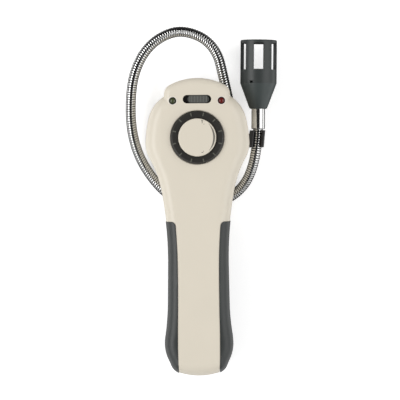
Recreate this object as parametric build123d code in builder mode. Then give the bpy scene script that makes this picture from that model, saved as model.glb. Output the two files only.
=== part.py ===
from build123d import *
from math import cos, radians, sin, sqrt, tan
import os

# Handheld combustible gas detector, lying on its back with the dial facing up.
# The origin is where the dial's axis meets the flat back of the head.
# +X is the user's right, +Y runs from the handle to the head, +Z is the front.

# Housing, front view
head_top = 43.8
crown_radius = 43.0
dome_half = 24.3
dome_root = 5.0
dome_corner = 7.5
handle_end = 176.4
end_corner = 9.5
head_crown = 38.1
side_line = [
    (26.8, 28.8), (36.0, 14.4), (38.4, -2.5), (35.4, -15.4), (26.7, -40.0), (23.8, -60.0),
    (22.1, -94.0), (22.5, -122.0), (24.7, -148.0), (22.4, -164.0), (19.0, -172.5),
]

# Housing, side view
head_depth = 46.0
handle_front = 43.0
front_slope = (-26.0, -72.0)
waist_height = 9.6
waist_y = -49.0
head_back_end = -18.0
heel_start = -146.0
front_edge = 8.5
back_edge = 7.0
dome_edge = 5.0

# Walls and the seam between the shells
wall = 2.2
parting_z = 20.0
seam_depth = 0.4
seam_half = 0.2
neck_y = -57.0
strip_half = 13.4
bay_half = 16.5
bay_low_y = -166.0

# Rubber grips
grip_top = -61.9
grip_corner = 3.4
grip_proud = 0.4
grip_gap = 0.2
grip_heading = (-0.085, -1.0)
grip_inner_line = [(16.7, -61.9), (15.1, -98.0), (15.4, -140.0), (14.8, -180.0)]

# Dial
dial_radius = 19.55
dial_base = 45.4
dial_land = 48.4
dial_floor = dial_base + 1.6
cap_radius = 13.95
cap_top = 49.6
finger_rib_count = 12
finger_rib_radius = 17.4
finger_rib_size = (2.6, 0.8)
shaft_radius = 3.0
shaft_top = dial_floor + 1.0
running_gap = 0.06
pot_radius = 8.2
pot_height = 5.6
bushing_radius = 4.4
bushing_height = 7.2

# Slide switch and lamps
slot_length = 20.9
slot_width = 6.2
switch_y = 28.1
button_length = 15.6
button_width = 5.6
button_rest_x = 0.95
button_top = head_depth + 0.2
button_plate = (26.4, 7.2)
button_rib_count = 12
button_rib_pitch = 1.1
button_rib_size = (0.5, 4.4)
lever_half = 1.0
lever_room = (2.4, 1.3)
switch_half = (9.5, 3.2)
switch_height = 4.8
lamp_x = 17.9
lamp_y = 27.0
lamp_radius = 2.7
lamp_flange = 0.4
lamp_height = 7.5
lead_half_pitch = 1.27
lead_width = 0.6

# Circuit board
board_z = 34.6
board_thickness = 1.6
board_top = board_z + board_thickness
board_low_y = -14.5
board_high_y = 31.4
board_edge = 4.0
board_screw_radius = 0.9
board_screw_head_radius = 2.0
board_screw_head_height = 1.4
standoffs = [(-28.0, 12.0), (28.0, 12.0), (-26.0, -9.0), (26.0, -9.0)]
standoff_radius = 2.7

# Battery stack
cell_radius = 13.1
cell_length = 49.8
cell_count = 3
nub_radius = 3.3
nub_height = 1.8
cell_axis_z = 25.3
stack_top_y = -20.2
contact_thickness = 0.6
contact_half = (8.0, 9.0)
spring_half = 2.5
bulkhead_low_y = stack_top_y + contact_thickness + 2.0
bulkhead_high_y = bulkhead_low_y + 1.8

# Battery door
door_half = 13.4
door_top = -62.0
door_bottom = -160.0
ledge_top = -149.5
ledge_half = 14.0
door_gap = 0.2
door_screw_y = -155.0
door_screw_radius = 1.45
door_screw_head_radius = 3.6
door_screw_head = (0.1, 1.2)
coin_slot = (0.6, 0.7)
door_screw_end = 9.0
door_hook_x = 10.0
door_hook_half = 1.5
hook_root = 5.0
hook_reach = 3.0
hook_thickness = 1.8
thumb_groove_half = (7.0, 0.6)
thumb_groove_depth = 1.0

# Case screws
case_screws_at = [(-15.5, 35.8), (15.5, 35.8), (-18.4, -52.5), (18.4, -52.5)]
boss_radius = 3.2
rear_boss_radius = 4.0
door_boss_radius = 3.5
screw_seat_z = 13.0
screw_radius = 1.45
screw_head_radius = 2.7
screw_head_height = 2.2
screw_length = 18.0
cross_half = 1.8
cross_width = 0.8

# Gooseneck, from its end inside the head to its end inside the ferrule
tube_radius = 3.85
probe_x = 45.05
probe_z = 20.0
probe_lean = radians(0.9)
gooseneck_route = [
    (24.6, 21.5, 20.0), (18.9, 48.7, 20.0), (15.2, 63.1, 20.0), (6.4, 73.5, 20.0),
    (-6.0, 78.8, 20.0), (-17.2, 79.2, 20.0), (-29.6, 73.6, 20.0), (-38.4, 65.2, 20.0),
    (-44.5, 54.6, 19.7), (-48.3, 42.5, 19.0), (-49.9, 28.0, 17.4), (-50.0, 12.0, 15.0),
    (-47.7, -2.8, 12.0), (-43.4, -15.5, 8.9), (-36.6, -27.4, 5.6), (-27.9, -38.2, 4.1),
    (-18.0, -46.0, 4.0), (-7.0, -50.2, 4.0), (5.0, -50.6, 4.0), (16.0, -48.6, 4.1),
    (25.2, -44.4, 4.9), (32.2, -38.6, 7.6), (37.2, -31.6, 11.4), (40.6, -23.2, 15.6),
    (42.8, -14.4, 18.8), (44.2, -5.2, 20.0),
    (probe_x + 1.0 * tan(probe_lean), 1.0, probe_z), (probe_x + 14.0 * tan(probe_lean), 14.0, probe_z),
]
bend_share = 0.47
saddle_low = (14.0, 24.8)
saddle_high = (26.0, 27.6)

# Side clip
clip_low_y = -7.7
clip_high_y = 5.1
clip_x = 45.1
clip_lean = radians(5.5)
clip_half = 5.4
clip_height = 11.4
clip_bore = 4.25
clip_mouth = 5.6

# Probe
ferrule_radius = 5.0
ferrule_low_y = 6.1
ferrule_high_y = 26.0
cone_low_y = 21.0
cone_foot_radius = 6.45
cone_foot_fillet = 1.7
wire_bore = 2.5
hood_low_y = 40.0
hood_high_y = 72.2
hood_radius = 13.55
hood_bore = 11.1
slot_count = 6
slot_low_y = 50.2
slot_high_y = 69.8
bore_high_y = 70.4
hood_slot_width = 7.4
notch_width = 3.3
notch_height = 1.9
notch_turn = -22.5
spigot_radius = 10.9
spigot_high_y = 44.0
carrier_radius = 10.4
carrier_thickness = 1.6
element_radius = 6.0
element_height = 5.2

# Buzzer
buzzer_x = -17.5
buzzer_y = 9.0
buzzer_radius = 8.0
buzzer_height = 7.5
buzzer_hole_radius = 1.2
vent_radius = 1.0
vent_circle = 4.5
vent_count = 6

os.makedirs("parts", exist_ok=True)


def finish(piece, name):
    """Name a finished piece and write it."""
    piece.part.label = name
    export_step(piece.part, f"parts/{name}.step")


def tangent_arcs(points, heading):
    """Arcs through the points, each one leaving along the line on which the last one ended."""
    arcs = []
    for start, end in zip(points, points[1:]):
        arc = TangentArc(start, end, tangent=heading)
        heading = arc % 1
        arcs.append(arc)
    return arcs


def head_and_handle_plan(inset):
    """Front outline of the round head and the handle, moved in by inset."""
    start_x, start_y = side_line[0]
    end_x, end_y = side_line[-1]
    with BuildSketch() as plan:
        with BuildLine():
            crown = ThreePointArc((-start_x, start_y), (0, head_crown), (start_x, start_y))
            for arc in tangent_arcs(side_line, crown % 1):
                mirror(arc, about=Plane.YZ)
            ThreePointArc((-end_x, end_y), (0, -handle_end), (end_x, end_y))
        make_face()
        fillet(plan.vertices().group_by(Axis.Y)[0], radius=end_corner)
        if inset:
            offset(amount=-inset, mode=Mode.REPLACE)
    return plan.sketch


def dome_plan(inset):
    """Front outline of the dome that carries the switch and the lamps."""
    crown_centre = head_top - crown_radius
    crown_side = crown_centre + sqrt(crown_radius**2 - dome_half**2)
    with BuildSketch() as plan:
        with BuildLine():
            ThreePointArc((-dome_half, crown_side), (0, head_top), (dome_half, crown_side))
            Polyline(
                (dome_half, crown_side), (dome_half, dome_root),
                (-dome_half, dome_root), (-dome_half, crown_side),
            )
        make_face()
        fillet(plan.vertices().group_by(Axis.Y)[-1], radius=dome_corner)
        if inset:
            offset(amount=-inset, mode=Mode.REPLACE)
    return plan.sketch


def with_middle(ends):
    """The two ends of an S bend with the point between them where its curve turns over."""
    (first_y, first_z), (last_y, last_z) = ends
    return [ends[0], ((first_y + last_y) / 2, (first_z + last_z) / 2), ends[1]]


def side_profile(inset):
    """Side view: flat face and back at the head, a thin waist behind the neck, and a heel."""
    beyond = 60.0
    far_end = -(handle_end + beyond)
    with BuildSketch() as profile:
        with BuildLine():
            Line((beyond, head_depth), (front_slope[0], head_depth))
            slope_ends = [(front_slope[0], head_depth), (front_slope[1], handle_front)]
            tangent_arcs(with_middle(slope_ends), (-1, 0))
            Line((front_slope[1], handle_front), (far_end, handle_front))
            Line((far_end, handle_front), (far_end, 0))
            Line((far_end, 0), (heel_start, 0))
            tangent_arcs(with_middle([(heel_start, 0), (waist_y, waist_height)]), (1, 0))
            tangent_arcs(with_middle([(waist_y, waist_height), (head_back_end, 0)]), (1, 0))
            Line((head_back_end, 0), (beyond, 0))
            Line((beyond, 0), (beyond, head_depth))
        make_face()
        if inset:
            offset(amount=-inset, mode=Mode.REPLACE)
    return profile.sketch


def round_rims(body, front_radius, back_radius):
    """Round the rims where the side wall meets the face and the back."""
    rims = body.edges().filter_by(Axis.Z, reverse=True).filter_by(Axis.X, reverse=True)
    fillet(rims.filter_by(lambda rim: rim.center().Z > parting_z), radius=front_radius)
    rims = body.edges().filter_by(Axis.Z, reverse=True).filter_by(Axis.X, reverse=True)
    fillet(rims.filter_by(lambda rim: rim.bounding_box().max.Z < parting_z), radius=back_radius)


def head_and_handle(inset):
    """The moulded form of the head and handle, moved in by inset on every side."""
    with BuildPart() as body:
        with BuildSketch(Plane.XY.offset(-head_depth)):
            add(head_and_handle_plan(inset))
        extrude(amount=3 * head_depth)
        with BuildSketch(Plane.YZ):
            add(side_profile(inset))
        extrude(amount=2 * dome_half, both=True, mode=Mode.INTERSECT)
        round_rims(body, front_edge - inset, back_edge - inset)
    return body.part


def dome(inset):
    """The moulded form of the dome, moved in by inset on every side."""
    with BuildPart() as body:
        with BuildSketch(Plane.XY.offset(inset)):
            add(dome_plan(inset))
        extrude(amount=head_depth - 2 * inset)
        round_rims(body, dome_edge - inset, dome_edge - inset)
    return body.part


def upright_rounds(radius, places, low_z, high_z, mode=Mode.ADD):
    """Upright round posts or holes, one at each place."""
    with BuildSketch(Plane.XY.offset(low_z)) as rounds:
        with Locations(*places):
            Circle(radius)
    extrude(rounds.sketch, amount=high_z - low_z, mode=mode)


def upright_block(low_corner, high_corner, mode=Mode.ADD):
    """A block between two opposite corners."""
    middle = [(low + high) / 2 for low, high in zip(low_corner, high_corner)]
    with Locations(tuple(middle)):
        Box(*[high - low for low, high in zip(low_corner, high_corner)], mode=mode)


# Forms that the shells, grips and door are cut from
grip_seat = head_and_handle(wall)

with BuildPart() as outer:
    add(head_and_handle(0))
    add(dome(0))


def grip_zone(inset):
    """Everything on the right of a grip's inner edge and below its top, moved in by inset."""
    with BuildPart() as zone:
        with BuildSketch(Plane.XY.offset(-wall)) as grip_plan:
            with BuildLine():
                tangent_arcs(grip_inner_line, grip_heading)
                Polyline(
                    grip_inner_line[-1], (2 * dome_half, grip_inner_line[-1][1]), (2 * dome_half, grip_top),
                    grip_inner_line[0],
                )
            make_face()
            fillet(grip_plan.vertices().sort_by_distance(grip_inner_line[0])[0], radius=grip_corner)
            if inset:
                offset(amount=-inset, mode=Mode.REPLACE)
        extrude(amount=head_depth + 2 * wall)
    return zone.part


with BuildPart() as grip_pockets:
    add(grip_zone(0))
    mirror(about=Plane.YZ)
    add(grip_seat, mode=Mode.SUBTRACT)

with BuildPart() as shell_form:
    add(outer.part)
    add(grip_pockets.part, mode=Mode.SUBTRACT)

# Hollow of the housing: full width in the head, a straight bay for the cells between the grips
with BuildPart() as hollow:
    add(grip_seat)
    for side in (-1, 1):
        beside = sorted((side * strip_half, side * 2 * dome_half))
        upright_block((beside[0], -handle_end, 0), (beside[1], neck_y, head_depth), Mode.SUBTRACT)
    add(dome(wall))
    with BuildSketch(Plane.YZ) as bay_side:
        add(side_profile(2 * wall))
        with Locations(((bay_low_y + neck_y + wall) / 2, head_depth / 2)):
            Rectangle(neck_y + wall - bay_low_y, head_depth, mode=Mode.INTERSECT)
    extrude(bay_side.sketch, amount=bay_half, both=True)

# Shadow line where the two shells meet
with BuildPart() as seam:
    with BuildSketch(Plane.XY.offset(parting_z - seam_half)):
        add(head_and_handle_plan(-wall))
        add(dome_plan(-wall))
        add(head_and_handle_plan(seam_depth), mode=Mode.SUBTRACT)
        add(dome_plan(seam_depth), mode=Mode.SUBTRACT)
    extrude(amount=2 * seam_half)

# Gooseneck: a stay-put tube from the head, round behind the neck and up to the side clip
corners = [Vector(*point) for point in gooseneck_route]
bend_radii = []
for before, corner, after in zip(corners, corners[1:], corners[2:]):
    run_in = corner - before
    run_out = after - corner
    turn = radians(run_in.get_angle(run_out))
    bend_radii.append(bend_share * min(run_in.length, run_out.length) / tan(turn / 2))
print("gooseneck bend radii", [round(radius, 1) for radius in bend_radii])

with BuildPart() as gooseneck:
    with BuildLine() as gooseneck_line:
        FilletPolyline(*gooseneck_route, radius=bend_radii)
    gooseneck_path = gooseneck_line.wires()[0]
    with BuildSketch(Plane(origin=gooseneck_path @ 0, z_dir=gooseneck_path % 0)):
        Circle(tube_radius)
    sweep(path=gooseneck_path)
print("gooseneck length", round(gooseneck_path.length, 1))
finish(gooseneck, "gooseneck")

# Collar swaged on the tube's inner end, and the notched ribs in both shells that hold it
collar_plane = Plane(origin=gooseneck_path @ 0, z_dir=gooseneck_path % 0)
collar_radius = 4.7
collar_flange_radius = 5.6
collar_flange = 2.4
collar_sleeve = 5.4
passage_length = 20.8
with BuildPart() as gooseneck_collar:
    with BuildSketch(collar_plane):
        Circle(collar_flange_radius)
        Circle(tube_radius, mode=Mode.SUBTRACT)
    extrude(amount=collar_flange)
    with BuildSketch(collar_plane):
        Circle(collar_radius)
        Circle(tube_radius, mode=Mode.SUBTRACT)
    extrude(amount=collar_sleeve)
    chamfer(gooseneck_collar.edges().filter_by(GeomType.CIRCLE).group_by(SortBy.RADIUS)[-1], length=0.4)
finish(gooseneck_collar, "gooseneck_collar")

with BuildPart() as tube_passage:
    with BuildSketch(collar_plane):
        Circle(tube_radius + running_gap)
    extrude(amount=passage_length)
    with BuildSketch(collar_plane):
        Circle(collar_radius + running_gap)
    extrude(amount=collar_sleeve + running_gap)
    with BuildSketch(collar_plane):
        Circle(collar_flange_radius + running_gap)
    extrude(amount=collar_flange)

# Side clip: an open jaw that leans with the tube, and a tongue that the two shells trap in a window
window_low_y = -5.2
window_high_y = 2.6
window_half = 3.0
window_inner_x = 33.5
window_outer_x = 40.0
pad_inner_x = 32.6
pad_outer_x = 34.6
pad_overlap = 1.5
with BuildPart() as side_clip:
    with BuildSketch(Plane.XZ.offset(-clip_high_y)) as jaw:
        with Locations((clip_x, probe_z)):
            RectangleRounded(2 * clip_half, clip_height, 1.2)
            with Locations((-clip_half / 2, 0)):
                Rectangle(clip_half + 1.5, clip_height)
            Circle(clip_bore, mode=Mode.SUBTRACT)
            with Locations((0, clip_height / 2)):
                Rectangle(clip_mouth, clip_height, mode=Mode.SUBTRACT)
        lips = jaw.vertices().group_by(Axis.Y)[-1].filter_by(lambda v: abs(v.X - clip_x) < clip_bore)
        fillet(lips, radius=0.8)
    extrude(amount=(clip_high_y - clip_low_y) / cos(clip_lean), dir=(-sin(clip_lean), -cos(clip_lean), 0))
    add(outer.part, mode=Mode.SUBTRACT)
    tongue_low = (pad_outer_x - 0.4, window_low_y + running_gap, probe_z - window_half + running_gap)
    tongue_high = (window_outer_x - 1.0, window_high_y - running_gap, probe_z + window_half - running_gap)
    upright_block(tongue_low, tongue_high)
    pad_low = (pad_inner_x, window_low_y - pad_overlap, probe_z - window_half - 2.0)
    pad_high = (pad_outer_x, window_high_y + pad_overlap, probe_z + window_half + 2.0)
    upright_block(pad_low, pad_high)
finish(side_clip, "side_clip")

# Front shell
with BuildPart() as front_cuts:
    upright_rounds(screw_radius + running_gap, case_screws_at, parting_z, screw_seat_z + screw_length + 1.0)
    upright_rounds(board_screw_radius + 0.05, standoffs, board_top, board_top + 5.0)
    upright_rounds(dial_radius + 0.5, [(0, 0)], dial_base - 0.4, head_depth + 1.0)
    upright_rounds(shaft_radius + 0.4, [(0, 0)], board_top, head_depth)
    upright_rounds(lamp_radius + 0.05, [(-lamp_x, lamp_y), (lamp_x, lamp_y)], board_top, head_depth + 1.0)
    with BuildSketch(Plane.XY.offset(board_top)):
        with Locations((0, switch_y)):
            SlotOverall(slot_length, slot_width)
    extrude(amount=head_depth)
    window_high = (window_outer_x, window_high_y, probe_z + window_half)
    upright_block((window_inner_x, window_low_y, parting_z - 1.0), window_high)
    add(tube_passage.part)
    add(seam.part)

front_wall_z = head_depth - wall / 2
with BuildPart() as front_shell:
    add(shell_form.part)
    split(bisect_by=Plane.XY.offset(parting_z), keep=Keep.TOP)
    add(hollow.part, mode=Mode.SUBTRACT)
    upright_rounds(boss_radius, case_screws_at[:2], parting_z, front_wall_z)
    upright_rounds(boss_radius, case_screws_at[2:], parting_z, handle_front - 0.4)
    upright_rounds(standoff_radius, standoffs, board_top, front_wall_z)
    upright_block((-strip_half, bulkhead_low_y, parting_z), (strip_half, bulkhead_high_y, front_wall_z))
    upright_block(saddle_low + (parting_z,), saddle_high + (board_z - 3.0,))
    add(front_cuts.part, mode=Mode.SUBTRACT)
finish(front_shell, "front_shell")

# Rear shell
with BuildPart() as door_recess:
    recess_half = door_half + door_gap
    upright_block((-recess_half, door_bottom - door_gap, -1), (recess_half, door_top, parting_z))
    add(grip_seat, mode=Mode.SUBTRACT)
    upright_block((-door_half, ledge_top, 0), (door_half, door_top, parting_z - 4.0))

with BuildPart() as rear_cuts:
    upright_rounds(screw_radius + running_gap, case_screws_at, 0, parting_z + 1.0)
    upright_rounds(screw_head_radius + 0.3, case_screws_at, -1.0, screw_seat_z)
    upright_rounds(door_screw_radius + running_gap, [(0, door_screw_y)], 0, door_screw_end + 0.5)
    with BuildSketch(Plane.XY.offset(-1.0)):
        with Locations((buzzer_x, buzzer_y)):
            Circle(vent_radius)
            with PolarLocations(vent_circle, vent_count):
                Circle(vent_radius)
    extrude(amount=2 * wall)
    window_low = (window_inner_x, window_low_y, probe_z - window_half)
    upright_block(window_low, (window_outer_x, window_high_y, parting_z + 1.0))
    add(tube_passage.part)
    add(door_recess.part)
    add(seam.part)

with BuildPart() as rear_shell:
    add(shell_form.part)
    split(bisect_by=Plane.XY.offset(parting_z), keep=Keep.BOTTOM)
    add(hollow.part, mode=Mode.SUBTRACT)
    upright_rounds(rear_boss_radius, case_screws_at[:2], wall - 0.2, parting_z)
    upright_rounds(rear_boss_radius, case_screws_at[2:], waist_height + 1.6, parting_z)
    upright_rounds(door_boss_radius, [(0, door_screw_y)], wall, door_screw_end + 1.5)
    upright_block((-strip_half, bulkhead_low_y, wall / 2), (strip_half, bulkhead_high_y, parting_z))
    upright_block(saddle_low + (wall / 2,), saddle_high + (parting_z,))
    upright_block((-ledge_half, door_bottom - 2.4, wall / 2), (ledge_half, ledge_top, 2 * wall))
    add(rear_cuts.part, mode=Mode.SUBTRACT)
finish(rear_shell, "rear_shell")

# Battery door: a curved panel with two hooks, held by one coin screw
hook_low_z = waist_height + wall + 0.1
hook_foot_z = waist_height + 0.4
thumb_groove_count = 5
thumb_groove_y = -145.0
thumb_groove_pitch = 2.6
with BuildPart() as battery_door:
    add(outer.part)
    upright_block((-door_half, door_bottom, -1), (door_half, door_top - door_gap, parting_z), Mode.INTERSECT)
    add(grip_seat, mode=Mode.SUBTRACT)
    for side in (-1, 1):
        hook_low_x = side * door_hook_x - door_hook_half
        hook_high_x = side * door_hook_x + door_hook_half
        hook_root_y = door_top - hook_root
        hook_tip_y = door_top + hook_reach
        hook_top_z = hook_low_z + hook_thickness
        upright_block((hook_low_x, hook_root_y, hook_low_z), (hook_high_x, hook_tip_y, hook_top_z))
        upright_block((hook_low_x, hook_root_y, hook_foot_z), (hook_high_x, door_top - 1.0, hook_low_z + 1.0))
    upright_rounds(door_screw_head_radius + 0.2, [(0, door_screw_y)], -1.0, door_screw_head[1], Mode.SUBTRACT)
    upright_rounds(door_screw_radius + 0.35, [(0, door_screw_y)], -1.0, wall + 1.0, Mode.SUBTRACT)
    for number in range(thumb_groove_count):
        groove_y = thumb_groove_y + number * thumb_groove_pitch
        groove_low = (-thumb_groove_half[0], groove_y - thumb_groove_half[1], -1.0)
        groove_high = (thumb_groove_half[0], groove_y + thumb_groove_half[1], thumb_groove_depth)
        upright_block(groove_low, groove_high, Mode.SUBTRACT)
finish(battery_door, "battery_door")

with BuildPart() as door_screw:
    slot_half, slot_deep = coin_slot
    upright_rounds(door_screw_head_radius, [(0, door_screw_y)], *door_screw_head)
    upright_rounds(door_screw_radius, [(0, door_screw_y)], door_screw_head[0], door_screw_end)
    upright_block(
        (-door_screw_head_radius, door_screw_y - slot_half, 0),
        (door_screw_head_radius, door_screw_y + slot_half, slot_deep),
        Mode.SUBTRACT,
    )
finish(door_screw, "door_screw")

# Case screws, driven from the back
with BuildPart() as case_screws:
    head_low_z = screw_seat_z - screw_head_height
    upright_rounds(screw_head_radius, case_screws_at, head_low_z, screw_seat_z)
    upright_rounds(screw_radius, case_screws_at, head_low_z, screw_seat_z + screw_length)
    for x, y in case_screws_at:
        for half_x, half_y in ((cross_half, cross_width / 2), (cross_width / 2, cross_half)):
            cross_low = (x - half_x, y - half_y, 0)
            cross_high = (x + half_x, y + half_y, screw_seat_z - 1.0)
            upright_block(cross_low, cross_high, Mode.SUBTRACT)
finish(case_screws, "case_screws")

# Rubber grips
with BuildPart() as right_grip:
    add(head_and_handle(-grip_proud))
    add(grip_zone(grip_gap), mode=Mode.INTERSECT)
    add(grip_seat, mode=Mode.SUBTRACT)
finish(right_grip, "right_grip")

with BuildPart() as left_grip:
    add(mirror(right_grip.part, about=Plane.YZ, mode=Mode.PRIVATE))
finish(left_grip, "left_grip")

# Dial: a ring with finger ribs on the shaft, and a cap pressed into the ring
with BuildPart() as dial_ring:
    with BuildSketch(Plane.XZ):
        with BuildLine():
            Polyline(
                (shaft_radius, dial_base), (dial_radius, dial_base), (dial_radius, dial_land - 1.4),
                (dial_radius - 1.3, dial_land), (cap_radius + 0.6, dial_land - 0.5),
                (cap_radius, dial_land - 1.1),
                (cap_radius, dial_floor), (shaft_radius, dial_floor), (shaft_radius, dial_base),
            )
        make_face()
    revolve(axis=Axis.Z)
    with BuildSketch(Plane.XY.offset(dial_land - 1.0)):
        with PolarLocations(finger_rib_radius, finger_rib_count, start_angle=360 / finger_rib_count / 2):
            Rectangle(*finger_rib_size)
    extrude(amount=1.3)
finish(dial_ring, "dial_ring")

with BuildPart() as dial_cap:
    upright_rounds(cap_radius, [(0, 0)], dial_floor, cap_top)
    fillet(dial_cap.edges().group_by(Axis.Z)[-1], radius=0.9)
    upright_rounds(shaft_radius, [(0, 0)], dial_base, shaft_top, Mode.SUBTRACT)
finish(dial_cap, "dial_cap")

with BuildPart() as dial_shaft:
    upright_rounds(shaft_radius, [(0, 0)], board_top + 1.0, shaft_top)
finish(dial_shaft, "dial_shaft")

with BuildPart() as potentiometer:
    upright_rounds(pot_radius, [(0, 0)], board_top, board_top + pot_height)
    upright_rounds(bushing_radius, [(0, 0)], board_top, board_top + bushing_height)
    upright_rounds(shaft_radius + running_gap, [(0, 0)], board_top + 0.9, head_depth, Mode.SUBTRACT)
finish(potentiometer, "potentiometer")

# Slide switch
inner_face_z = head_depth - wall
flange_top = inner_face_z - 0.3
flange_low = flange_top - 1.0
with BuildPart() as switch_button:
    with BuildSketch(Plane.XY.offset(flange_low)):
        with Locations((button_rest_x, switch_y)):
            RectangleRounded(*button_plate, 1.0)
    extrude(amount=flange_top - flange_low)
    with BuildSketch(Plane.XY.offset(flange_low)):
        with Locations((button_rest_x, switch_y)):
            SlotOverall(button_length, button_width)
    extrude(amount=button_top - flange_low)
    with BuildSketch(Plane.XY.offset(button_top)):
        with Locations((button_rest_x, switch_y)):
            with GridLocations(button_rib_pitch, 0, button_rib_count, 1):
                Rectangle(*button_rib_size)
    extrude(amount=0.4)
    lever_low_z = board_top + switch_height / 2 + 0.4
    upright_block((0, switch_y - lever_half, lever_low_z), (2 * lever_half, switch_y + lever_half, flange_low))
finish(switch_button, "switch_button")

with BuildPart() as switch_body:
    switch_top = board_top + switch_height
    upright_block(
        (-switch_half[0], switch_y - switch_half[1], board_top),
        (switch_half[0], switch_y + switch_half[1], switch_top),
    )
    upright_block(
        (-lever_room[0], switch_y - lever_room[1], board_top + switch_height / 2),
        (lever_room[0], switch_y + lever_room[1], switch_top + 0.2),
        Mode.SUBTRACT,
    )
finish(switch_body, "switch_body")

# Lamps: clear epoxy domes on a flange, with their two leads down to the board
for lamp_name, side in (("green_lamp", -1), ("red_lamp", 1)):
    with BuildPart() as lamp:
        with BuildSketch(Plane.XZ.offset(-lamp_y)):
            with BuildLine():
                top = head_depth + 1.5
                low = top - lamp_height - wall
                flange_radius = lamp_radius + lamp_flange
                Polyline(
                    (0, top), (0, low), (flange_radius, low), (flange_radius, low + 1.0),
                    (lamp_radius, low + 1.0), (lamp_radius, top - lamp_radius),
                )
                CenterArc((0, top - lamp_radius), lamp_radius, 0, 90)
            make_face()
        revolve(axis=Axis((0, lamp_y, 0), (0, 0, 1)))
        with Locations((0, lamp_y, (low + board_top) / 2)):
            with GridLocations(2 * lead_half_pitch, 0, 2, 1):
                Box(lead_width, lead_width, low - board_top)
    lamp.part.position = (side * lamp_x, 0, 0)
    finish(lamp, lamp_name)

# Circuit board
with BuildPart() as main_board:
    with BuildSketch(Plane.XY.offset(board_z)):
        add(head_and_handle_plan(board_edge))
        add(dome_plan(board_edge))
        with Locations((0, (board_low_y + board_high_y) / 2)):
            Rectangle(2 * dome_half + 20, board_high_y - board_low_y, mode=Mode.INTERSECT)
        with Locations(*standoffs):
            Circle(board_screw_radius + 0.3, mode=Mode.SUBTRACT)
    extrude(amount=board_thickness)
finish(main_board, "main_board")

with BuildPart() as board_screws:
    head_low_z = board_z - board_screw_head_height
    upright_rounds(board_screw_head_radius, standoffs, head_low_z, board_z)
    upright_rounds(board_screw_radius, standoffs, head_low_z, board_top + 4.5)
finish(board_screws, "board_screws")

with BuildPart() as buzzer:
    buzzer_low_z = board_z - buzzer_height
    upright_rounds(buzzer_radius, [(buzzer_x, buzzer_y)], buzzer_low_z, board_z)
    upright_rounds(buzzer_hole_radius, [(buzzer_x, buzzer_y)], buzzer_low_z, buzzer_low_z + 2.0, Mode.SUBTRACT)
finish(buzzer, "buzzer")

# Battery stack: cells in line, nub towards the head
for number in range(cell_count):
    nub_end = stack_top_y - number * cell_length
    with BuildPart() as cell:
        with BuildSketch(Plane.YZ):
            with BuildLine():
                Polyline(
                    (nub_end, cell_axis_z), (nub_end, cell_axis_z + nub_radius),
                    (nub_end - nub_height, cell_axis_z + nub_radius),
                    (nub_end - nub_height, cell_axis_z + cell_radius),
                    (nub_end - cell_length, cell_axis_z + cell_radius),
                    (nub_end - cell_length, cell_axis_z), (nub_end, cell_axis_z),
                )
            make_face()
        revolve(axis=Axis((0, 0, cell_axis_z), (0, 1, 0)))
    finish(cell, f"battery_cell_{number + 1}")

stack_low_y = stack_top_y - cell_count * cell_length
with BuildPart() as contact_plate:
    upright_block(
        (-contact_half[0], stack_top_y, cell_axis_z - contact_half[1]),
        (contact_half[0], stack_top_y + contact_thickness, cell_axis_z + contact_half[1]),
    )
finish(contact_plate, "contact_plate")

# Leaf spring that presses the stack towards the head
end_wall_y = -(handle_end - wall)
with BuildPart() as contact_spring:
    with BuildSketch(Plane.YZ) as leaf:
        with BuildLine() as leaf_line:
            Polyline(
                (end_wall_y + 0.5, cell_axis_z - contact_half[1]),
                (end_wall_y + 0.5, cell_axis_z + contact_half[1]),
                (stack_low_y - 0.4, cell_axis_z + 1.5), (stack_low_y - 0.4, cell_axis_z - 1.5),
                (end_wall_y + 1.8, cell_axis_z - 6),
            )
            offset(amount=contact_thickness / 2)
        make_face()
    extrude(amount=spring_half, both=True)
finish(contact_spring, "contact_spring")

# Probe: everything is round about one axis, which leans a little outwards from +Y
probe_across = (cos(probe_lean), -sin(probe_lean), 0)
probe_along = (sin(probe_lean), cos(probe_lean), 0)
probe_profile = Plane(origin=(probe_x, 0, probe_z), x_dir=probe_across, z_dir=(0, 0, 1))
probe_axis = Axis((probe_x, 0, probe_z), probe_along)


def across_probe(distance):
    """Plane across the probe's axis at a distance along it, with its first direction to the front."""
    return Plane(origin=probe_profile.from_local_coords((0, distance, 0)), x_dir=(0, 0, 1), z_dir=probe_along)


with BuildPart() as probe_ferrule:
    with BuildSketch(probe_profile) as section:
        with BuildLine():
            tube_end = gooseneck_route[-1][1] / cos(probe_lean)
            Polyline(
                (tube_radius, ferrule_low_y), (ferrule_radius, ferrule_low_y), (ferrule_radius, ferrule_high_y),
                (wire_bore, ferrule_high_y), (wire_bore, tube_end), (tube_radius, tube_end),
                (tube_radius, ferrule_low_y),
            )
        make_face()
        rim = section.vertices().sort_by_distance((ferrule_radius, ferrule_low_y))[0]
        fillet(rim, radius=0.5)
    revolve(axis=probe_axis)
finish(probe_ferrule, "probe_ferrule")

with BuildPart() as sensor_body:
    with BuildSketch(probe_profile) as section:
        with BuildLine():
            Polyline(
                (ferrule_radius, cone_low_y), (cone_foot_radius, cone_low_y), (hood_radius, hood_low_y),
                (spigot_radius, hood_low_y), (spigot_radius, spigot_high_y), (wire_bore, spigot_high_y),
                (wire_bore, ferrule_high_y), (ferrule_radius, ferrule_high_y), (ferrule_radius, cone_low_y),
            )
        make_face()
    revolve(axis=probe_axis)
    foot = sensor_body.edges().filter_by(GeomType.CIRCLE).group_by(probe_axis)[0].sort_by(SortBy.RADIUS)[-1]
    fillet(foot, radius=cone_foot_fillet)
finish(sensor_body, "sensor_body")

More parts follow.
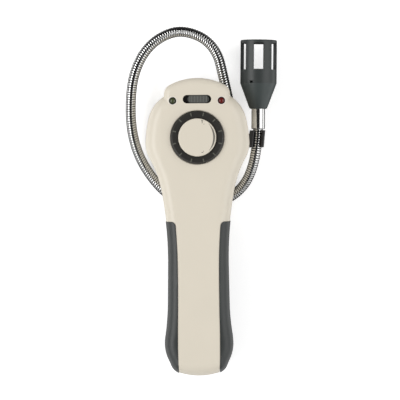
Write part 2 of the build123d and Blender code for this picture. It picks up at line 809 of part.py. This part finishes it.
with BuildPart() as sensor_hood:
    with BuildSketch(probe_profile) as section:
        with BuildLine():
            Polyline(
                (0, bore_high_y), (hood_bore, bore_high_y), (hood_bore, hood_low_y), (hood_radius, hood_low_y),
                (hood_radius, hood_high_y), (0, hood_high_y), (0, bore_high_y),
            )
        make_face()
    revolve(axis=probe_axis)
    fillet(sensor_hood.edges().filter_by(GeomType.CIRCLE).group_by(probe_axis)[-1], radius=0.8)
    with BuildSketch(across_probe(slot_low_y)):
        with PolarLocations(hood_radius, slot_count):
            Rectangle(2 * (hood_radius - hood_bore) + 4.0, hood_slot_width)
    extrude(amount=slot_high_y - slot_low_y, mode=Mode.SUBTRACT)
    with BuildSketch(across_probe(hood_low_y)):
        with PolarLocations(hood_radius, 1, start_angle=notch_turn):
            Rectangle(2 * (hood_radius - hood_bore) + 1.0, notch_width)
    extrude(amount=notch_height, mode=Mode.SUBTRACT)
finish(sensor_hood, "sensor_hood")

with BuildPart() as sensor_carrier:
    with BuildSketch(across_probe(spigot_high_y)):
        Circle(carrier_radius)
    extrude(amount=carrier_thickness)
finish(sensor_carrier, "sensor_carrier")

with BuildPart() as sensor_element:
    with BuildSketch(across_probe(spigot_high_y + carrier_thickness)):
        Circle(element_radius)
    extrude(amount=element_height)
    fillet(sensor_element.edges().group_by(probe_axis)[-1], radius=0.8)
finish(sensor_element, "sensor_element")
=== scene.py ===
import math

import bmesh
import bpy
from mathutils import Matrix, Vector


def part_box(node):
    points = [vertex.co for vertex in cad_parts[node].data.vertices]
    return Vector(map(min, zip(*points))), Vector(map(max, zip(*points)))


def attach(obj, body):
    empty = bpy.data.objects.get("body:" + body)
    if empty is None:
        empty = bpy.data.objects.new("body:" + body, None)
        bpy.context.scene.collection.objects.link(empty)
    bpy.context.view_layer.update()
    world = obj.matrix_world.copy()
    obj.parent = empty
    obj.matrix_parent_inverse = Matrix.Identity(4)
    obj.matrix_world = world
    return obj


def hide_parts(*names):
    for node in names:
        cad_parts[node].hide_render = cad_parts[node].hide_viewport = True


# Handheld combustible gas detector: the looks of each solid, and the ribbed gooseneck.
# Everything is in metres, in the frame of the solids: +Z is the front, the head is at +Y.
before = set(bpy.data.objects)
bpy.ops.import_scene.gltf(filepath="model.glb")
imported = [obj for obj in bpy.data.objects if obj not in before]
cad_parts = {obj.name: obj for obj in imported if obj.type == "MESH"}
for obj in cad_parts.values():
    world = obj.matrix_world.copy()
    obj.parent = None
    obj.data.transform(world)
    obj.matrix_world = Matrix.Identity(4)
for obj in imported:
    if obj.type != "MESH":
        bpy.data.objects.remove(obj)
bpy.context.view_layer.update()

# Housing: a front and a rear shell moulded in cream plastic, screwed together, with a door over the cells.
# The moulds leave a fine satin skin, and a soft crease down each side of the head, in line with the dome.
# A painted glow shows round each lamp: a pale ring painted on the plastic where the lens would scatter
# light, though the lamps are not alight.


class Nodes:
    """The node tree of a material or of the world, to which nodes are added one by one."""

    def __init__(self, owner):
        owner.use_nodes = True
        self.tree = owner.node_tree

    def feed(self, socket, value):
        """Link a shade to a socket, or give it a number, a vector or a colour."""
        if isinstance(value, Shade):
            self.tree.links.new(value.socket, socket)
        elif socket.type == "RGBA":
            socket.default_value = (*value, 1.0)
        else:
            socket.default_value = value

    def add(self, kind, settings, sockets, *outputs):
        """Add a node of that kind, make its settings, feed its sockets, and return the outputs named."""
        node = self.tree.nodes.new("ShaderNode" + kind)
        for name, value in settings.items():
            setattr(node, name, value)
        for name, value in sockets.items():
            self.feed(node.inputs[name], value)
        shades = [Shade(self, node.outputs[name]) for name in outputs]
        return shades[0] if len(shades) == 1 else shades


class Shade:
    """The output of a node, which takes part in plain arithmetic with numbers and other shades."""

    def __init__(self, nodes, socket):
        self.nodes = nodes
        self.socket = socket

    def maths(self, operation, *values):
        return self.nodes.add("Math", {"operation": operation}, dict(enumerate(values)), "Value")

    def __add__(self, other):
        return self.maths("ADD", self, other)

    def __radd__(self, other):
        return self.maths("ADD", other, self)

    def __sub__(self, other):
        return self.maths("SUBTRACT", self, other)

    def __rsub__(self, other):
        return self.maths("SUBTRACT", other, self)

    def __mul__(self, other):
        return self.maths("MULTIPLY", self, other)

    def __rmul__(self, other):
        return self.maths("MULTIPLY", other, self)

    def __abs__(self):
        return self.maths("ABSOLUTE", self)

    def root(self):
        return self.maths("SQRT", self)

    def most(self, other):
        return self.maths("MAXIMUM", self, other)

    def step(self, low, high):
        """0 below low and 1 above high, with a smooth change between them."""
        sockets = {"Value": self, "From Min": low, "From Max": high}
        return self.nodes.add("MapRange", {"interpolation_type": "SMOOTHSTEP"}, sockets, "Result")

    def between(self, low, high):
        """A straight change from low to high as this goes from 0 to 1."""
        return self.nodes.add("MapRange", {}, {"Value": self, "To Min": low, "To Max": high}, "Result")

    def mix(self, first, second):
        """The first colour where this is 0 and the second where it is 1.

        A Mix node has several sockets of one name, so its colour sockets are called by number.
        """
        factor, first_colour, second_colour, mixed_colour = 0, 6, 7, 2
        sockets = {factor: self, first_colour: first, second_colour: second}
        return self.nodes.add("Mix", {"data_type": "RGBA"}, sockets, mixed_colour)


class Finish:
    """A material of one Principled shader, with patterns on the object's own coordinates."""

    def __init__(self, name, colour, roughness, metallic=0.0):
        self.material = bpy.data.materials.new(name)
        self.nodes = Nodes(self.material)
        self.place = self.nodes.add("TexCoord", {}, {}, "Object")
        self.x, self.y, self.z = self.nodes.add("SeparateXYZ", {}, {"Vector": self.place}, "X", "Y", "Z")
        self.give("Base Color", colour)
        self.give("Roughness", roughness)
        self.give("Metallic", metallic)

    def give(self, socket, value):
        """Feed the shader's socket of that name."""
        self.nodes.feed(self.nodes.tree.nodes["Principled BSDF"].inputs[socket], value)

    def noise(self, size, detail=2.0, stretch=(1.0, 1.0, 1.0)):
        """Soft noise from 0 to 1 in blotches about size metres across, longer where stretch is more."""
        scale = [1.0 / (size * share) for share in stretch]
        spread = self.nodes.add("Mapping", {}, {"Vector": self.place, "Scale": scale}, "Vector")
        return self.nodes.add("TexNoise", {}, {"Vector": spread, "Scale": 1.0, "Detail": detail}, "Fac")

    def reach(self, centre_x, centre_y):
        """Distance from the upright line through that place."""
        off_x = self.x - centre_x
        off_y = self.y - centre_y
        return (off_x * off_x + off_y * off_y).root()

    def bump(self, height, depth=1.0):
        """Raise the surface by depth metres where height is 1, or by a height in metres."""
        self.give("Normal", self.nodes.add("Bump", {}, {"Distance": depth, "Height": height}, "Normal"))

    def on(self, *nodes):
        """Give this material to the named solids."""
        for node in nodes:
            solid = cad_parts[node]
            solid.data.materials.clear()
            solid.data.materials.append(self.material)


def tinted(colour, share):
    """The colour made darker or paler by a share."""
    return [channel * share for channel in colour]


def middle(node):
    """The middle of a solid's box."""
    low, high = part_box(node)
    return (low + high) / 2


cream = (0.717, 0.660, 0.553)
painted_glow_colour = (0.93, 0.90, 0.86)
painted_glow_rim = (0.0028, 0.0034)
painted_glow_strength = 0.6
front_face = (0.0440, 0.0452)
crease_x = 0.0264
crease_slope = 0.12
crease_foot = (-0.024, -0.008)
crease_head = (0.024, 0.030)
crease_edge = (0.030, 0.034)
cloud_size = 0.030
sheen_size = 0.012
skin_grain = 0.00055
skin_depth = 0.000018
housing = Finish("cream_plastic", cream, 0.36)
cloudy = housing.noise(cloud_size).mix(tinted(cream, 0.97), tinted(cream, 1.025))
# Painted glow: the housing's colour is made paler in a ring round each lamp, as if lit by the lens.
painted_glows = []
for node in ("green_lamp", "red_lamp"):
    lamp_centre = middle(node)
    painted_glows.append(1 - housing.reach(lamp_centre.x, lamp_centre.y).step(*painted_glow_rim))
painted_glow = painted_glows[0].most(painted_glows[1]) * housing.z.step(*front_face)
housing.give("Base Color", (painted_glow_strength * painted_glow).mix(cloudy, painted_glow_colour))
housing.give("Roughness", housing.noise(sheen_size).between(0.31, 0.41))
outside = (abs(housing.x) - crease_x).most(0.0)
crease = housing.y.step(*crease_foot) * (1 - housing.y.step(*crease_head)) * housing.z.step(*crease_edge)
skin = skin_depth * housing.noise(skin_grain, 3.0)
housing.bump(skin - crease_slope * outside * crease)
housing.on("front_shell", "rear_shell", "battery_door")

# Grips: a pad of dark rubber on each side of the handle, moulded by itself and pressed into its pocket.
# A fine grain dulls the light, and hands have rubbed it paler and duller in patches.
fresh_rubber = (0.030, 0.034, 0.033)
rubbed_rubber = (0.042, 0.046, 0.045)
patch_size = 0.022
rubber_grain = 0.00045
rubber_depth = 0.00003
rubber = Finish("grip_rubber", (0.036, 0.040, 0.039), 0.45)
rubbed = rubber.noise(patch_size)
rubber.give("Base Color", rubbed.mix(fresh_rubber, rubbed_rubber))
rubber.give("Roughness", rubbed.between(0.38, 0.50))
rubber.bump(rubber.noise(rubber_grain, 3.0), rubber_depth)
rubber.on("right_grip", "left_grip")

# Circuit board: glass fibre and resin behind the dial, held to the front shell by four small screws.
# A green mask covers it, with a faint pattern of copper tracks below.
mask_green = (0.018, 0.090, 0.040)
track_green = (0.035, 0.150, 0.070)
track_width = 0.0022
track_stretch = (1.0, 6.0, 1.0)
track_edge = (0.52, 0.56)
board = Finish("board_mask", (0.020, 0.100, 0.045), 0.3)
tracks = board.noise(track_width, 1.0, track_stretch).step(*track_edge)
board.give("Base Color", tracks.mix(mask_green, track_green))
board.on("main_board")

# Black mouldings: the buzzer and the potentiometer on the board, and the carrier of the sensor element.
# They are bought-in parts of plain black plastic, a little uneven in gloss.
moulding_size = 0.004
black = Finish("carrier_plastic", (0.014, 0.014, 0.014), 0.5)
black.give("Roughness", black.noise(moulding_size).between(0.42, 0.58))
black.on("sensor_carrier", "potentiometer", "buzzer")

# Screws, contacts and the body of the switch: steel, zinc plated after it is pressed or rolled.
# The plating is dull and patchy.
plating_size = 0.003
plated = Finish("plated_steel", (0.60, 0.60, 0.58), 0.30, metallic=1.0)
plated.give("Roughness", plated.noise(plating_size).between(0.22, 0.42))
plated.on("case_screws", "door_screw", "board_screws", "contact_plate", "contact_spring", "switch_body")

# Dial shaft and gooseneck collar: turned from bar, the shaft pressed into the dial ring.
# The two shells of the housing close on the collar and hold the tube by it.
turning_size = 0.002
turned = Finish("turned_metal", (0.70, 0.70, 0.70), 0.25, metallic=1.0)
turned.give("Roughness", turned.noise(turning_size).between(0.2, 0.34))
turned.on("dial_shaft", "gooseneck_collar")

# Cells: three in line in the handle, each a steel can in a plain dark wrap.
# The wrap leaves the steel bare at the nub end.
wrap_colour = (0.045, 0.055, 0.070)
can_colour = (0.55, 0.54, 0.52)
bare_length = 0.0026
wrap_fade = 0.0004
for number in (1, 2, 3):
    node = f"battery_cell_{number}"
    nub_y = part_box(node)[1].y
    cell = Finish(f"cell_wrap_{number}", (0.05, 0.06, 0.07), 0.35)
    bare = cell.y.step(nub_y - bare_length, nub_y - bare_length + wrap_fade)
    cell.give("Base Color", bare.mix(wrap_colour, can_colour))
    cell.give("Metallic", bare)
    cell.on(node)

# Dial ring: a moulding of near-black, semi-gloss plastic that turns on the potentiometer's shaft.
# Pale paint marks the tops of its short finger ribs.
ring_colour = (0.027, 0.026, 0.023)
rib_paint = (0.12, 0.12, 0.10)
rib_top = (0.04852, 0.04862)
ring_grain = 0.0006
grain_depth = 0.00001
dial = Finish("dial_plastic", (0.030, 0.031, 0.031), 0.34)
dial.give("Base Color", dial.z.step(*rib_top).mix(ring_colour, rib_paint))
dial.bump(dial.noise(ring_grain), grain_depth)
dial.on("dial_ring")

# Dial cap: the same cream plastic as the housing, pressed into the ring and printed in black.
# The wedge, between two circles, shows which way the level rises, and small bars and dots mark its ends.
print_colour = (0.060, 0.058, 0.052)
print_strength = 0.82
wedge_rim = (0.01302, 0.01310)
wedge_hollow = (0.01665, 0.01673)
wedge_shift = -0.00505
line_half = 0.00022
print_fade = 0.00008
cap_top = (0.0490, 0.0494)
cap_cloud = 0.018
cap = Finish("cap_plastic", cream, 0.33)
printed = (1 - cap.reach(0.0, 0.0).step(*wedge_rim)) * cap.reach(wedge_shift, 0.0).step(*wedge_hollow)
for mark_x, mark_y, half_x, half_y in (
    (0.0037, 0.0114, line_half, 0.00110),
    (0.0037, 0.0122, 0.00070, line_half),
    (0.0050, 0.0097, line_half, line_half),
    (0.0037, -0.0110, 0.00060, line_half),
    (0.0045, -0.0101, line_half, line_half),
):
    over_x = 1 - abs(cap.x - mark_x).step(half_x, half_x + print_fade)
    over_y = 1 - abs(cap.y - mark_y).step(half_y, half_y + print_fade)
    printed = printed.most(over_x * over_y)
cap_cream = cap.noise(cap_cloud).mix(tinted(cream, 0.98), cream)
on_top = cap.z.step(*cap_top)
cap.give("Base Color", (print_strength * printed * on_top).mix(cap_cream, print_colour))
cap.on("dial_cap")

# Slide switch: a button moulded in warm grey plastic, with ribs for the thumb, that slides in its slot.
# The guide plate below the button is black, and its black also stands as painted shade deep in the slot.
guide_black_and_slot_shade = (0.012, 0.012, 0.012)
shaded_button_grey = (0.075, 0.078, 0.072)
highlit_rib_grey = (0.185, 0.190, 0.175)
guide_top = (0.0438, 0.0446)
rib_highlight_height = (0.0462, 0.0465)
button_grain = 0.0005
slider = Finish("slider_plastic", (0.115, 0.120, 0.110), 0.42)
# Painted light on the thumb ribs: their tops are painted paler as a highlight, and the button below them
# darker as shade.
button_painted_light = slider.z.step(*rib_highlight_height).mix(shaded_button_grey, highlit_rib_grey)
# Below the guide's top the button is painted black: partly the real black guide, partly painted shade in
# the slot.
slider.give("Base Color", slider.z.step(*guide_top).mix(guide_black_and_slot_shade, button_painted_light))
slider.bump(slider.noise(button_grain), grain_depth)
slider.on("switch_button")

# Lamps: domed lenses of tinted resin, pushed into the front shell from inside, and not alight.
# Each has a painted shade round its rim, darker than its cloudy middle, and is glossy enough to hold a
# bright glint.
lens_shade_rim = (0.0012, 0.0024)
lens_cloud = 0.002
for node, tint in (("green_lamp", (0.050, 0.062, 0.026)), ("red_lamp", (0.118, 0.010, 0.008))):
    lens = Finish(node + "_lens", tint, 0.14)
    lamp_centre = middle(node)
    clear_part = lens.noise(lens_cloud).mix(tinted(tint, 0.8), tinted(tint, 1.3))
    # Painted shade: the lens is darkened towards its rim, where the edge of the dome falls into shade.
    rim_shade = lens.reach(lamp_centre.x, lamp_centre.y).step(*lens_shade_rim)
    lens.give("Base Color", rim_shade.mix(clear_part, tinted(tint, 0.22)))
    lens.on(node)

# Gooseneck: chromed steel strip wound into a tube that stays as it is bent, with rounded turns in a helix.
# It follows the same points as the solid tube, smoothed, and takes the solid's place.
# Chrome covers the crests, and the grooves between the turns carry painted shade, a dark metal of their
# own.
route = [
    (0.0246, 0.0215, 0.0200), (0.0189, 0.0487, 0.0200), (0.0152, 0.0631, 0.0200),
    (0.0064, 0.0735, 0.0200), (-0.0060, 0.0788, 0.0200), (-0.0172, 0.0792, 0.0200),
    (-0.0296, 0.0736, 0.0200), (-0.0384, 0.0652, 0.0200), (-0.0445, 0.0546, 0.0197),
    (-0.0483, 0.0425, 0.0190), (-0.0499, 0.0280, 0.0174), (-0.0500, 0.0120, 0.0150),
    (-0.0477, -0.0028, 0.0120), (-0.0434, -0.0155, 0.0089), (-0.0366, -0.0274, 0.0056),
    (-0.0279, -0.0382, 0.0041), (-0.0180, -0.0460, 0.0040), (-0.0070, -0.0502, 0.0040),
    (0.0050, -0.0506, 0.0040), (0.0160, -0.0486, 0.0041), (0.0252, -0.0444, 0.0049),
    (0.0322, -0.0386, 0.0076), (0.0372, -0.0316, 0.0114), (0.0406, -0.0232, 0.0156),
    (0.0428, -0.0144, 0.0188), (0.0442, -0.0052, 0.0200), (0.04507, 0.0010, 0.0200),
    (0.04527, 0.0140, 0.0200),
]
turn_pitch = 0.00178
crest_radius = 0.00385
groove_depth = 0.00050
shaded_groove_share = 0.17
haze_size = 0.006
groove_haze = 0.003
points_per_span = 24
rings_per_turn = 9
spokes = 36


def smooth_line(points, per_span):
    """Points along the smooth curve that the given points pull into shape."""
    curve = bpy.data.curves.new("line", "CURVE")
    curve.dimensions = "3D"
    spline = curve.splines.new("NURBS")
    spline.points.add(len(points) - 1)
    for target, point in zip(spline.points, points):
        target.co = (*point, 1.0)
    spline.order_u = 3
    spline.use_endpoint_u = True
    spline.resolution_u = per_span
    holder = bpy.data.objects.new("line", curve)
    mesh = bpy.data.meshes.new_from_object(holder)
    line = [vertex.co.copy() for vertex in mesh.vertices]
    bpy.data.objects.remove(holder)
    bpy.data.curves.remove(curve)
    bpy.data.meshes.remove(mesh)
    return line


def even_steps(line, step):
    """The line walked in equal steps, as places and headings."""
    walked = [0.0]
    for first, second in zip(line, line[1:]):
        walked.append(walked[-1] + (second - first).length)
    count = int(walked[-1] / step)
    places = []
    span = 0
    for number in range(count + 1):
        along = walked[-1] * number / count
        while span < len(line) - 2 and walked[span + 1] < along:
            span += 1
        share = (along - walked[span]) / (walked[span + 1] - walked[span])
        places.append(line[span].lerp(line[span + 1], share))
    headings = []
    for number in range(count + 1):
        before = places[max(0, number - 1)]
        after = places[min(count, number + 1)]
        headings.append((after - before).normalized())
    return places, headings


def along_turn(ring_number, spoke):
    """How far a place on the tube is along its turn, from 0 in one groove to 1 in the next."""
    return (ring_number / rings_per_turn - spoke / spokes) % 1.0


chrome = Finish("chrome", (0.78, 0.78, 0.77), 0.10, metallic=1.0)
chrome.give("Roughness", chrome.noise(haze_size).between(0.07, 0.15))
# Painted shade: a dark metal for the faces deep in each groove, where shade falls between the turns.
groove_shade = Finish("tube_groove_shade", (0.05, 0.05, 0.05), 0.5, metallic=1.0)
groove_shade.give("Roughness", groove_shade.noise(groove_haze).between(0.4, 0.6))
line = smooth_line(route, points_per_span)
places, headings = even_steps(line, turn_pitch / rings_per_turn)
tube_shape = bmesh.new()
side = headings[0].orthogonal().normalized()
rings = []
for ring_number, (place, heading) in enumerate(zip(places, headings)):
    side = (side - heading * side.dot(heading)).normalized()
    up = heading.cross(side)
    ring = []
    for spoke in range(spokes):
        angle = 2 * math.pi * spoke / spokes
        crest = math.sqrt(max(0.0, 1.0 - (2 * along_turn(ring_number, spoke) - 1) ** 2))
        radius = crest_radius - groove_depth * (1.0 - crest)
        ring.append(tube_shape.verts.new(place + (side * math.cos(angle) + up * math.sin(angle)) * radius))
    rings.append(ring)
for ring_number, (last_ring, ring) in enumerate(zip(rings, rings[1:])):
    for spoke in range(spokes):
        after = (spoke + 1) % spokes
        face = tube_shape.faces.new((last_ring[spoke], last_ring[after], ring[after], ring[spoke]))
        face.smooth = True
        # Faces near the bottom of a groove take the painted shade.
        from_crest = abs(along_turn(ring_number + 0.5, spoke + 0.5) - 0.5)
        face.material_index = 1 if from_crest > 0.5 - shaded_groove_share else 0
tube_shape.faces.new(list(reversed(rings[0])))
tube_shape.faces.new(rings[-1])
bmesh.ops.recalc_face_normals(tube_shape, faces=tube_shape.faces[:])
tube_mesh = bpy.data.meshes.new("ribbed_tube")
tube_shape.to_mesh(tube_mesh)
tube_shape.free()
tube_mesh.materials.append(chrome.material)
tube_mesh.materials.append(groove_shade.material)
tube = bpy.data.objects.new("ribbed_tube", tube_mesh)
bpy.context.collection.objects.link(tube)
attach(tube, "housing")
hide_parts("gooseneck")

# Probe ferrule: a drawn sleeve that joins the tube to the sensor body.
# It is plated with the tube, so it has the same very slightly hazed chrome.
chrome.on("probe_ferrule")

# Side clip: a springy jaw of black plastic, fixed beside the head, that holds the tube below the sensor.
# Its plastic is the blackest on the outside, with a fine moulded grain.
clip_grain = 0.0006
clip = Finish("clip_plastic", (0.032, 0.031, 0.030), 0.38)
clip.bump(clip.noise(clip_grain), grain_depth)
clip.on("side_clip")

# Sensor body and hood: the cone that holds the sensor, and the slotted cage that lets the air in.
# Both are moulded in dark plastic with a slight green cast; the cage is painted a little darker than the
# cone, as painted shade.
sensor_cloud = 0.015
sensor_grain = 0.0005
sensor_depth = 0.000018
# The hood's darker tint is painted shade: one plastic, in a lit copy for the cone and a shaded copy for
# the cage.
for node, tint in (("sensor_body", (0.046, 0.057, 0.056)), ("sensor_hood", (0.034, 0.040, 0.039))):
    sensor = Finish(node + "_plastic", tint, 0.42)
    sensor.give("Base Color", sensor.noise(sensor_cloud).mix(tinted(tint, 0.92), tinted(tint, 1.10)))
    sensor.bump(sensor.noise(sensor_grain, 3.0), sensor_depth)
    sensor.on(node)

# Sensor element: a small can inside the hood, with a cap of sintered metal that the gas passes through.
# The grains of metal show as specks and pits.
dark_speck = (0.25, 0.245, 0.235)
pale_speck = (0.50, 0.49, 0.47)
speck_size = 0.0005
pit_size = 0.0004
pit_depth = 0.00012
sintered = Finish("sintered_metal", (0.42, 0.41, 0.39), 0.6, metallic=0.6)
sintered.give("Base Color", sintered.noise(speck_size).mix(dark_speck, pale_speck))
sintered.bump(sintered.noise(pit_size, 4.0), pit_depth)
sintered.on("sensor_element")

# Floor: plain pale paper, lifted to white for the eye and for reflections, and still holding the shadow.
# In reflections it is dim close by and past the head, which gives the chrome its dark outlines.
# It is clear from below and to light that starts just above it, so the back can be looked at too.
floor_z = -0.0005
floor_half = 3.0
paper_grey = (0.86, 0.86, 0.86)
dim_grey = (0.04, 0.04, 0.04)
near_glow = 0.5
extra_glow = 0.35
far_reach = (0.4, 1.6)
dim_close = (0.030, 0.070)
dim_beyond = (0.085, 0.130)
clear_close = (0.020, 0.030)
clear_touching = (0.002, 0.004)
slab = bmesh.new()
bmesh.ops.create_grid(slab, x_segments=1, y_segments=1, size=floor_half)
bmesh.ops.translate(slab, verts=slab.verts[:], vec=(0.0, 0.0, floor_z))
floor_mesh = bpy.data.meshes.new("floor")
slab.to_mesh(floor_mesh)
slab.free()
floor = bpy.data.objects.new("floor", floor_mesh)
bpy.context.collection.objects.link(floor)
paper = bpy.data.materials.new("paper")
floor_mesh.materials.append(paper)
sheet = Nodes(paper)
sheet.tree.nodes.remove(sheet.tree.nodes["Principled BSDF"])
spot, from_below = sheet.add("NewGeometry", {}, {}, "Position", "Backfacing")
floor_x, floor_y = sheet.add("SeparateXYZ", {}, {"Vector": spot}, "X", "Y")
ray_names = ("Is Camera Ray", "Is Diffuse Ray", "Is Glossy Ray", "Is Transmission Ray", "Ray Length")
to_camera, diffuse, glossy, through, run = sheet.add("LightPath", {}, {}, *ray_names)
far = (floor_x * floor_x + floor_y * floor_y).root().step(*far_reach)
lift = to_camera.most(glossy).most(through) * (extra_glow * far + near_glow)
black_to_white = lift.mix((0.0, 0.0, 0.0), (1.0, 1.0, 1.0))
glow = sheet.add("Emission", {}, {"Color": black_to_white}, "Emission")
pale = sheet.add("BsdfDiffuse", {}, {"Color": paper_grey}, "BSDF")
lifted = sheet.add("AddShader", {}, {0: pale, 1: glow}, "Shader")
dim = sheet.add("BsdfDiffuse", {}, {"Color": dim_grey}, "BSDF")
dimmed = glossy * (1 - run.step(*dim_close)).most(floor_y.step(*dim_beyond))
mirrored_floor = sheet.add("MixShader", {}, {0: dimmed, 1: lifted, 2: dim}, "Shader")
clear = sheet.add("BsdfTransparent", {}, {}, "BSDF")
cleared = (diffuse * (1 - run.step(*clear_close))).most(glossy * (1 - run.step(*clear_touching)))
one_way = sheet.add("MixShader", {}, {0: cleared.most(from_below), 1: mirrored_floor, 2: clear}, "Shader")
sheet.feed(sheet.tree.nodes["Material Output"].inputs["Surface"], one_way)

# Studio light: a long soft box on each side, low enough to leave the front of the dial without glare.
# The room lights all sides evenly, but in reflections it is dim straight above, where the camera stands,
# and dimmer past the head, with a paler patch past the handle, which gives the chrome its dark bands.
box_length = 1.5
box_distance = 1.18
lit_place = Vector((0.0, -0.04, 0.02))
room_level = 0.42
overhead = (0.35, 0.55)
overhead_level = 0.03
around_level = 0.16
past_head = (-0.05, 0.20)
past_head_share = 0.15
past_handle = (-0.40, -0.10)
past_handle_top = (0.5, 0.8)
past_handle_level = 0.15
for name, side, power, width, degrees_up in (
    ("left_box", -1, 10.0, 0.55, 42.0),
    ("right_box", 1, 7.8, 1.0, 38.0),
):
    raised = math.radians(degrees_up)
    light = bpy.data.lights.new(name, "AREA")
    light.shape = "RECTANGLE"
    light.size = box_length
    light.size_y = width
    light.energy = power
    soft_box = bpy.data.objects.new(name, light)
    bpy.context.collection.objects.link(soft_box)
    aim = Vector((-side * math.cos(raised), 0.0, -math.sin(raised)))
    soft_box.location = lit_place - aim * box_distance
    soft_box.rotation_euler = aim.to_track_quat("-Z", "Y").to_euler()
world = bpy.data.worlds.new("studio")
bpy.context.scene.world = world
sky = Nodes(world)
direction = sky.add("TexCoord", {}, {}, "Generated")
north, upward = sky.add("SeparateXYZ", {}, {"Vector": direction}, "Y", "Z")
to_camera, glossy = sky.add("LightPath", {}, {}, "Is Camera Ray", "Is Glossy Ray")
mirrored_room = (1 - upward.step(*overhead)).between(overhead_level, around_level)
mirrored_room = mirrored_room * (1 - north.step(*past_head)).between(past_head_share, 1.0)
patch = (1 - north.step(*past_handle)) * (1 - upward.step(*past_handle_top))
mirrored_room = mirrored_room + past_handle_level * patch
level = (glossy * (mirrored_room - room_level) + room_level).most(to_camera)
background = sky.tree.nodes["Background"].inputs
sky.feed(background["Strength"], level)
sky.feed(background["Color"], (1.0, 1.0, 1.0))

# Camera: a long lens straight above, a degree or so right of square and towards the head.
# It is rolled a little, so that the object stands as upright as in the photograph.
camera_data = bpy.data.cameras.new("camera")
camera_data.lens = 180.7
camera_data.sensor_width = 36.0
target = Vector((0.0014, -0.0466, 0.020))
distance = 1.5
lean_right = math.radians(0.5)
lean_up = math.radians(1.5)
roll = math.radians(-0.4755)
camera = bpy.data.objects.new("camera", camera_data)
bpy.context.collection.objects.link(camera)
leaned = Matrix.Rotation(lean_right, 4, "Y") @ Matrix.Rotation(-lean_up, 4, "X")
stance = leaned @ Matrix.Rotation(roll, 4, "Z")
back = stance.to_3x3() @ Vector((0.0, 0.0, 1.0))
camera.matrix_world = Matrix.Translation(target + back * distance) @ stance
bpy.context.scene.camera = camera
bpy.context.scene.view_settings.view_transform = "Standard"
